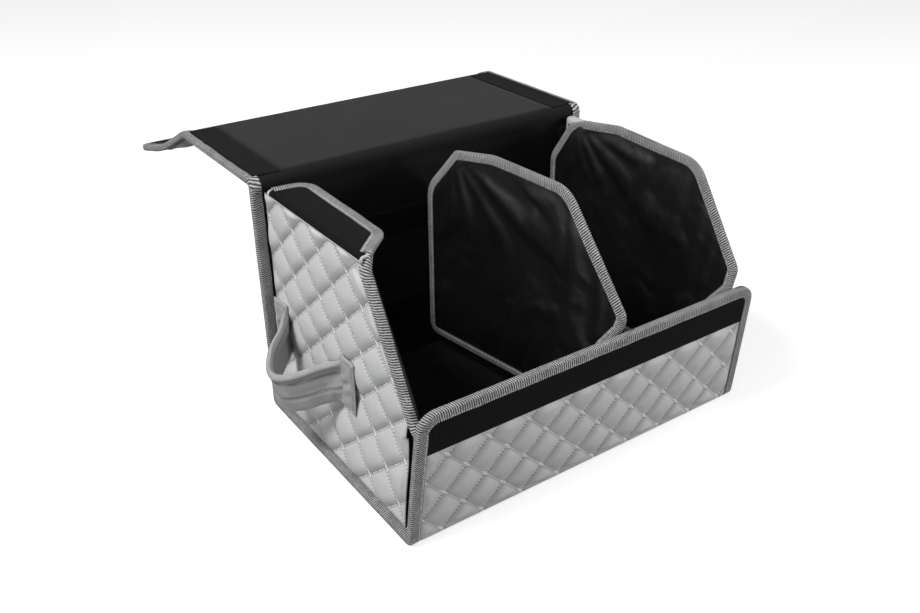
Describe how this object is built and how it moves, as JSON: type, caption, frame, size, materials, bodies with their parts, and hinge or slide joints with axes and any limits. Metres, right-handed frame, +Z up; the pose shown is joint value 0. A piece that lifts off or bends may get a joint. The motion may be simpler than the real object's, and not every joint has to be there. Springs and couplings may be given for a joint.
{
  "type": "car trunk organizer",
  "caption": "Folding quilted trunk organizer with a hinged lid and front flap, slanted side walls, removable dividers and side carry handles.",
  "frame": {"origin": "centre of the flat underside of the base", "axes": "+Z up, +Y towards the hinge and back wall, -Y towards the low front wall, +X to the right seen from the front"},
  "size_m": [0.5722, 0.761, 0.3146],
  "materials": {
    "leatherette": "light grey quilted synthetic leather, satin",
    "binding": "ribbed grey webbing",
    "loop": "black hook and loop tape",
    "lining": "black woven lining",
    "board": "dark grey non-woven covered board",
    "fibre": "stiffener sheet, not seen",
    "satin": "black satin",
    "strap": "light grey synthetic leather strap"
  },
  "bodies": {
    "box": {"binding_left": "binding", "binding_right": "binding", "binding_shell": "binding", "board_back": "fibre", "board_base": "fibre", "board_front": "fibre", "board_left": "fibre", "board_right": "fibre", "cover_left": "leatherette", "cover_right": "leatherette", "cover_shell": "leatherette", "divider_left_binding": "binding", "divider_left_hook": "loop", "divider_left_panel": "satin", "divider_right_binding": "binding", "divider_right_hook": "loop", "divider_right_panel": "satin", "flange_right_binding": "binding", "flange_right_loop": "loop", "flange_right_panel": "leatherette", "gusset_back_left": "lining", "gusset_back_right": "lining", "gusset_front_left": "lining", "gusset_front_right": "lining", "insert_board": "board", "lining_left": "lining", "lining_right": "lining", "lining_shell": "lining", "loop_back_lower": "loop", "loop_back_upper": "loop", "loop_front": "loop", "strap_left": "strap", "strap_right": "strap", "tab_front_left": "leatherette", "tab_front_right": "leatherette", "tab_rear_left": "leatherette", "tab_rear_right": "leatherette", "wall_seam_left": "leatherette"},
    "lid": {"lid_binding_left": "binding", "lid_binding_right": "binding", "lid_board": "fibre", "lid_cover": "leatherette", "lid_fold": "leatherette", "lid_hook_left": "loop", "lid_hook_right": "loop", "lid_liner": "board", "lid_lining": "lining"},
    "flap": {"flap_binding": "binding", "flap_board": "fibre", "flap_cover": "leatherette", "flap_fold": "leatherette", "flap_hook": "loop", "flap_lining": "lining"},
    "flange_left": {"flange_left_binding": "binding", "flange_left_fold": "leatherette", "flange_left_loop": "loop", "flange_left_panel": "leatherette"}
  },
  "joints": [
    {"name": "lid_hinge", "type": "hinge", "parent": "box", "child": "lid", "pos_m": [0, 0.161, 0.3065], "axis": [1, 0, 0], "range_deg": [-20, 168]},
    {"name": "flap_hinge", "type": "hinge", "parent": "lid", "child": "flap", "pos_m": [0, 0.37, 0.3065], "axis": [-1, 0, 0], "range_deg": [-65, 20]},
    {"name": "left_flange_fold", "type": "hinge", "parent": "box", "child": "flange_left", "pos_m": [-0.2204, 0.0495, 0.297], "axis": [0, 1, 0], "range_deg": [0, 70]}
  ]
}
